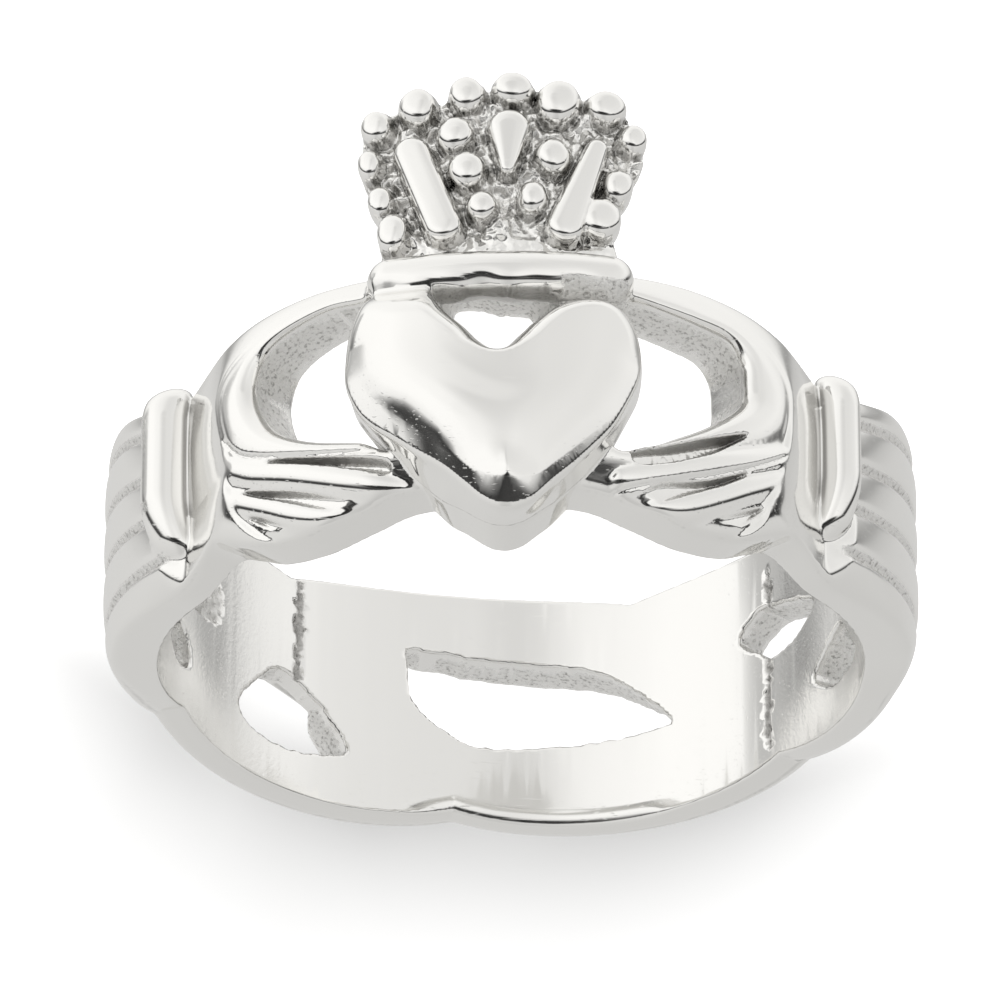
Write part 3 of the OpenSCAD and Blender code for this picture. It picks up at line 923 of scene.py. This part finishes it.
def skin_at(p, unit, growth):
    """How rough the silver is at each point, and how darkly it is painted: painted shade in crevices and
    at the bar's foot, real stain on the seams and pit.
    """
    a, y, r = p.T
    # painted shade: the more the silver closes in round a point, the darker it is painted
    deep = recess(p, unit, growth, crevice_w) + recess(p, unit, growth, corner_w)
    deep = clamp01(0.55 * deep)
    s = sheet_at(a, y)
    at_bore = smooth(0.25, 0.15, r - finger_r)
    on_wall = smooth(0.12, 0.04, s["openings"]) * smooth(0.1, 0.2, s["band_top"] - r)
    off_bar = bar_distance(a, y, r)
    in_cleft = smooth(0.1, 0.05, cleft_distance(s, r)) * smooth(rim + 0.1, rim - 0.1, r)
    on_wall = np.maximum(on_wall, in_cleft * smooth(0.02, 0.06, off_bar))
    # a painted shade line follows the foot of the bar in the cleft
    bar_foot_shade = in_cleft * smooth(bar_y - 0.44, bar_y - 0.52, y) * smooth(0.12, 0.06, off_bar)
    deep = np.maximum(deep, bar_foot_shade)
    # the seams and the pit inside carry real stains
    deep = np.maximum(deep, s["stain"] * at_bore)
    # the heart itself is polished
    outer_mark = np.where(s["heart_edge"] < -0.02, 0, s["rough"]) * (1 - at_bore)
    rough_here = np.maximum(outer_mark, on_wall * (1 - at_bore))
    rough_here = np.maximum(rough_here, s["inner_rough"] * at_bore)
    return rough_here, deep


def cast_ring():
    verts, quads = surface_net(sample_grid())
    verts = settle(verts, 3)
    draft = new_mesh("ring_draft", unrolled_to_space(verts), quads)
    mesh = thinned(draft, most_triangles)
    mesh.name = "cast_ring"
    co = np.zeros(len(mesh.vertices) * 3)
    mesh.vertices.foreach_get("co", co)
    p = settle(space_to_unrolled(co.reshape(-1, 3)), 1)
    g = gradient(p)
    growth = np.maximum(np.linalg.norm(g, axis=1), 1e-9)
    unit = g / growth[:, None]
    rough_here, deep = skin_at(p, unit, growth)
    world = np.array(RING_TO_WORLD)
    co = unrolled_to_space(p) @ world[:3, :3].T + world[:3, 3]
    mesh.vertices.foreach_set("co", co.astype(np.float32).ravel())
    mesh.update()
    # the recess attribute carries painted shade in crevices and at the bar's foot, and the real stains
    # inside
    for name, values in (("rough", rough_here), ("recess", deep)):
        layer = mesh.attributes.new(name, "FLOAT", "POINT")
        layer.data.foreach_set("value", values.astype(np.float32))
    mesh.polygons.foreach_set("use_smooth", np.ones(len(mesh.polygons), bool))
    normals = to_space(p, unit) @ (world[:3, :3] / MM).T
    mesh.normals_split_custom_set_from_vertices(normals.tolist())
    obj = bpy.data.objects.new("cast_ring", mesh)
    bpy.context.scene.collection.objects.link(obj)
    print("ring mesh:", len(mesh.vertices), "vertices,", len(mesh.polygons), "triangles")
    return obj


ring = cast_ring()


# SILVER
def node(tree, kind, **inputs):
    n = tree.nodes.new(kind)
    for key, value in inputs.items():
        n.inputs[key.replace("_", " ")].default_value = value
    return n


def to_range(tree, value, low, high, to_low, to_high, kind="LINEAR"):
    part = tree.nodes.new("ShaderNodeMapRange")
    part.interpolation_type = kind
    for key, number in zip(("From Min", "From Max", "To Min", "To Max"), (low, high, to_low, to_high)):
        part.inputs[key].default_value = number
    tree.links.new(value, part.inputs["Value"])
    return part.outputs["Result"]


def calculate(tree, kind, a, b):
    part = tree.nodes.new("ShaderNodeMath")
    part.operation = kind
    for value, socket in ((a, part.inputs[0]), (b, part.inputs[1])):
        if isinstance(value, (int, float)):
            socket.default_value = value
        else:
            tree.links.new(value, socket)
    return part.outputs[0]


def length_of(tree, vector):
    part = tree.nodes.new("ShaderNodeVectorMath")
    part.operation = "LENGTH"
    tree.links.new(vector, part.inputs[0])
    return part.outputs["Value"]


def mix_colour(tree, factor, a, b, kind="MIX"):
    part = tree.nodes.new("ShaderNodeMix")
    part.data_type = "RGBA"
    part.blend_type = kind
    for value, name in ((factor, "Factor"), (a, "A"), (b, "B")):
        socket = part.inputs[name]
        if isinstance(value, (int, float, tuple)):
            socket.default_value = value
        else:
            tree.links.new(value, socket)
    return part.outputs["Result"]


BRIGHT_SILVER = (0.93, 0.925, 0.91, 1)
DARK_SILVER = (0.36, 0.353, 0.34, 1)
grain_scale = 9000
scratch_scale = 16000
cloud_scale = 300
grain_depth = 0.00005
scratch_depth = 0.000002
polished_gloss = 0.07
cast_gloss = 0.36


def silver_material():
    mat = bpy.data.materials.new("cast_silver")
    mat.use_nodes = True
    tree = mat.node_tree
    shader = tree.nodes["Principled BSDF"]
    shader.inputs["Metallic"].default_value = 1
    place = tree.nodes.new("ShaderNodeTexCoord").outputs["Object"]

    def attribute(name):
        mark = tree.nodes.new("ShaderNodeAttribute")
        mark.attribute_name = name
        return mark.outputs["Fac"]

    def noise(vector, scale, detail):
        n = node(tree, "ShaderNodeTexNoise", Scale=scale, Detail=detail, Roughness=0.6)
        tree.links.new(vector, n.inputs["Vector"])
        return n.outputs["Fac"]

    rough_skin = attribute("rough")
    deep = attribute("recess")
    grain = noise(place, grain_scale, 5)
    cast = to_range(tree, rough_skin, 0.3, 0.9, 0, 1)
    # specks of dirt in the rough skin; painted shade in the crevices and at the bar's foot, with real
    # stains on the seams and pit inside
    speck = calculate(tree, "MULTIPLY", to_range(tree, grain, 0.34, 0.48, 0.8, 0), cast)
    painted_shade_and_stain = to_range(tree, deep, 0.35, 1.0, 0, 0.7, "SMOOTHSTEP")
    dirt_and_shade = calculate(tree, "MAXIMUM", speck, painted_shade_and_stain)
    colour = mix_colour(tree, dirt_and_shade, BRIGHT_SILVER, DARK_SILVER)
    tree.links.new(colour, shader.inputs["Base Color"])
    # fine scratches and a slightly uneven gloss on the polished faces
    turned = node(tree, "ShaderNodeMapping", Rotation=(0.5, 0.9, 0.3), Scale=(0.03, 1, 1))
    tree.links.new(place, turned.inputs["Vector"])
    scratch = to_range(tree, noise(turned.outputs["Vector"], scratch_scale, 1), 0.66, 0.74, 0, 1)
    cloud = to_range(tree, noise(place, cloud_scale, 2), 0.35, 0.65, 0, 0.05)
    gloss = to_range(tree, rough_skin, 0, 1, polished_gloss, cast_gloss)
    gloss = calculate(tree, "ADD", gloss, cloud)
    gloss = calculate(tree, "ADD", gloss, calculate(tree, "MULTIPLY", scratch, 0.1))
    tree.links.new(gloss, shader.inputs["Roughness"])
    bump = node(tree, "ShaderNodeBump", Distance=grain_depth)
    tree.links.new(to_range(tree, rough_skin, 0.2, 0.8, 0, 1), bump.inputs["Strength"])
    tree.links.new(grain, bump.inputs["Height"])
    nick = node(tree, "ShaderNodeBump", Distance=scratch_depth, Strength=0.5)
    tree.links.new(scratch, nick.inputs["Height"])
    tree.links.new(bump.outputs["Normal"], nick.inputs["Normal"])
    tree.links.new(nick.outputs["Normal"], shader.inputs["Normal"])
    return mat


ring.data.materials.append(silver_material())
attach(ring, "root")
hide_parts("ring")

# CAMERA
# The photograph's camera by the ring's own axes: how far it looks down the finger hole,
# how far the ring is turned about it, and the width of the view at the ring
view_down = 61.45
view_turn = 1.5
view_width = 24.66
view_far = 300
centre_px = (511, 550)
image_px = 1000
film_w = 36


def camera_axes():
    """Right, up and back of the camera in the ring's own frame."""
    e, b = math.radians(view_down), math.radians(view_turn)
    spin = Matrix.Rotation(b, 3, "Y")
    right = spin @ Vector((1, 0, 0))
    up = spin @ Vector((0, math.sin(e), math.cos(e)))
    back = spin @ Vector((0, -math.cos(e), math.sin(e)))
    return right, up, back


right, up, backward = camera_axes()
offset_x = (image_px / 2 - centre_px[0]) / image_px * view_width
offset_y = (centre_px[1] - image_px / 2) / image_px * view_width
to_ring = RING_TO_WORLD.to_3x3().normalized()
cam_data = bpy.data.cameras.new("camera")
cam_data.sensor_width = film_w
cam_data.lens = film_w * view_far / view_width
cam_data.clip_start = 0.01
cam_data.clip_end = 10
camera = bpy.data.objects.new("camera", cam_data)
bpy.context.scene.collection.objects.link(camera)
eye = right * offset_x + up * offset_y + backward * view_far
look = Matrix((to_ring @ right, to_ring @ up, to_ring @ backward)).transposed().to_4x4()
look.translation = RING_TO_WORLD @ eye
camera.matrix_world = look
bpy.context.scene.camera = camera

# FLOOR, LIGHT AND WORLD
photo_up = (to_ring @ up).normalized()
photo_back = (to_ring @ backward).normalized()
photo_right = (to_ring @ right).normalized()
sky_tilt = 15
# The floor is a white table that glows evenly, and more brightly under the ring: painted light that
# washes out the ring's shadow where the floor shows through it
floor_w = 1.6
floor_white = (0.6, 0.6, 0.6, 1)
painted_light_under_ring = 0.8
glow_round = 0.25
glow_reach = (0.0135, 0.0175)


def plain_floor():
    bpy.ops.mesh.primitive_plane_add(size=floor_w, location=(0, 0, 0))
    floor = bpy.context.active_object
    floor.name = "floor"
    mat = bpy.data.materials.new("floor_white")
    mat.use_nodes = True
    tree = mat.node_tree
    shader = tree.nodes["Principled BSDF"]
    shader.inputs["Base Color"].default_value = floor_white
    shader.inputs["Roughness"].default_value = 0.9
    shader.inputs["Specular IOR Level"].default_value = 0
    shader.inputs["Emission Color"].default_value = (1, 1, 1, 1)
    place = tree.nodes.new("ShaderNodeTexCoord").outputs["Object"]
    away = length_of(tree, place)
    # emission strength: even away from the ring, stronger close under it as a painted pool of light
    floor_glow_with_painted_pool = to_range(tree, away, *glow_reach, painted_light_under_ring, glow_round, "SMOOTHSTEP")
    tree.links.new(floor_glow_with_painted_pool, shader.inputs["Emission Strength"])
    floor.data.materials.append(mat)
    floor.visible_glossy = False
    return floor


# The world's brightness by elevation over the photograph's horizon, on the camera's side of
# the ring and on the far side. Columns: elevation, brightness
NEAR_SKY = [
    (-90, 0.61), (-40, 0.64), (-6, 0.70), (-1.5, 0.64), (0, 0.06), (6, 0.03), (9, 0.3),
    (13, 0.85), (24, 0.96), (45, 0.98), (70, 0.90), (90, 0.86),
]
FAR_SKY = [
    (-90, 0.61), (-20, 0.65), (-6, 0.65), (-1, 0.57), (1.5, 0.34), (4, 0.40), (9, 0.72),
    (16, 0.88), (30, 0.96), (60, 0.92), (90, 0.86),
]
SKY_TINT = (1, 0.993, 0.975)
# Softly darker stretches of the sky: above the camera to its right, and behind at the left.
# Columns: direction to the right, up and back, where the shade starts and is full as cosines
# of the angle to it, brightness left there
SHADES = [
    (0.5, 0.72, 0.48, 0.70, 0.97, 0.86),
    (-0.865, 0.347, -0.36, 0.955, 0.99, 0.55),
]


def studio_world():
    """White from above the photograph's horizon, grey below it, and a dark rim between."""
    world = bpy.data.worlds.new("studio")
    world.use_nodes = True
    bpy.context.scene.world = world
    tree = world.node_tree
    tree.nodes.clear()
    out = tree.nodes.new("ShaderNodeOutputWorld")
    background = tree.nodes.new("ShaderNodeBackground")
    tree.links.new(background.outputs[0], out.inputs[0])
    place = tree.nodes.new("ShaderNodeTexCoord")

    def along_axis(axis):
        """The cosine of the angle between a direction and this axis."""
        part = tree.nodes.new("ShaderNodeVectorMath")
        part.operation = "DOT_PRODUCT"
        part.inputs[1].default_value = axis
        tree.links.new(place.outputs["Generated"], part.inputs[0])
        return part.outputs["Value"]

    t = math.radians(sky_tilt)
    zenith = photo_up * math.cos(t) + photo_back * math.sin(t)
    height = to_range(tree, along_axis(zenith), -1, 1, 0, 1)

    def sky(levels):
        """A colour ramp over the elevation from (elevation, brightness) pairs."""
        ramp = tree.nodes.new("ShaderNodeValToRGB")
        stops = ramp.color_ramp.elements
        while len(stops) > 1:
            stops.remove(stops[-1])
        for n, (e, b) in enumerate(levels):
            at = (math.sin(math.radians(e)) + 1) / 2
            stop = stops[0] if n == 0 else stops.new(at)
            stop.position = at
            stop.color = (*(b * part for part in SKY_TINT), 1)
        tree.links.new(height, ramp.inputs["Fac"])
        return ramp.outputs["Color"]

    toward = along_axis(photo_back)
    near_share = to_range(tree, toward, -0.6, -0.1, 0, 1)
    sky_both = mix_colour(tree, near_share, sky(FAR_SKY), sky(NEAR_SKY))
    # The camera and the dark of the room behind it: an oval, wide and low
    spot = tree.nodes.new("ShaderNodeCombineXYZ")
    tree.links.new(to_range(tree, along_axis(photo_right), -0.7, 0.5, -1.1, 1.1), spot.inputs[0])
    tree.links.new(to_range(tree, along_axis(photo_up), -0.16, 0.16, -1, 1), spot.inputs[1])
    tree.links.new(to_range(tree, toward, 0, 0.5, 3, 0), spot.inputs[2])
    from_spot = length_of(tree, spot.outputs[0])
    shades = to_range(tree, from_spot, 0.55, 1.15, 0.03, 1, "SMOOTHSTEP")
    for x, y, z, start, full, level in SHADES:
        toward_it = photo_right * x + photo_up * y + photo_back * z
        soft = to_range(tree, along_axis(toward_it), start, full, 1, level, "SMOOTHSTEP")
        shades = calculate(tree, "MULTIPLY", shades, soft)
    shade = mix_colour(tree, 1.0, sky_both, shades, "MULTIPLY")
    # The left of the photograph's sky is a little brighter than its right
    strength = to_range(tree, along_axis(photo_right), -0.8, 0.8, 1.1, 0.98)
    tree.links.new(shade, background.inputs["Color"])
    tree.links.new(strength, background.inputs["Strength"])
    return world


plain_floor()
studio_world()

key_size = 0.22
key_power = 7.2
key_far = 0.6
key = bpy.data.lights.new("key", "AREA")
key.size = key_size
key.energy = key_power
key_light = bpy.data.objects.new("key", key)
bpy.context.scene.collection.objects.link(key_light)
key_light.visible_glossy = False
aim = Vector((0.10, 0.84, 0.51)).normalized()
key_light.location = aim * key_far
key_light.rotation_mode = "QUATERNION"
key_light.rotation_quaternion = (-aim).to_track_quat("-Z", "Y")
bpy.context.scene.view_settings.view_transform = "Standard"

bpy.context.view_layer.update()
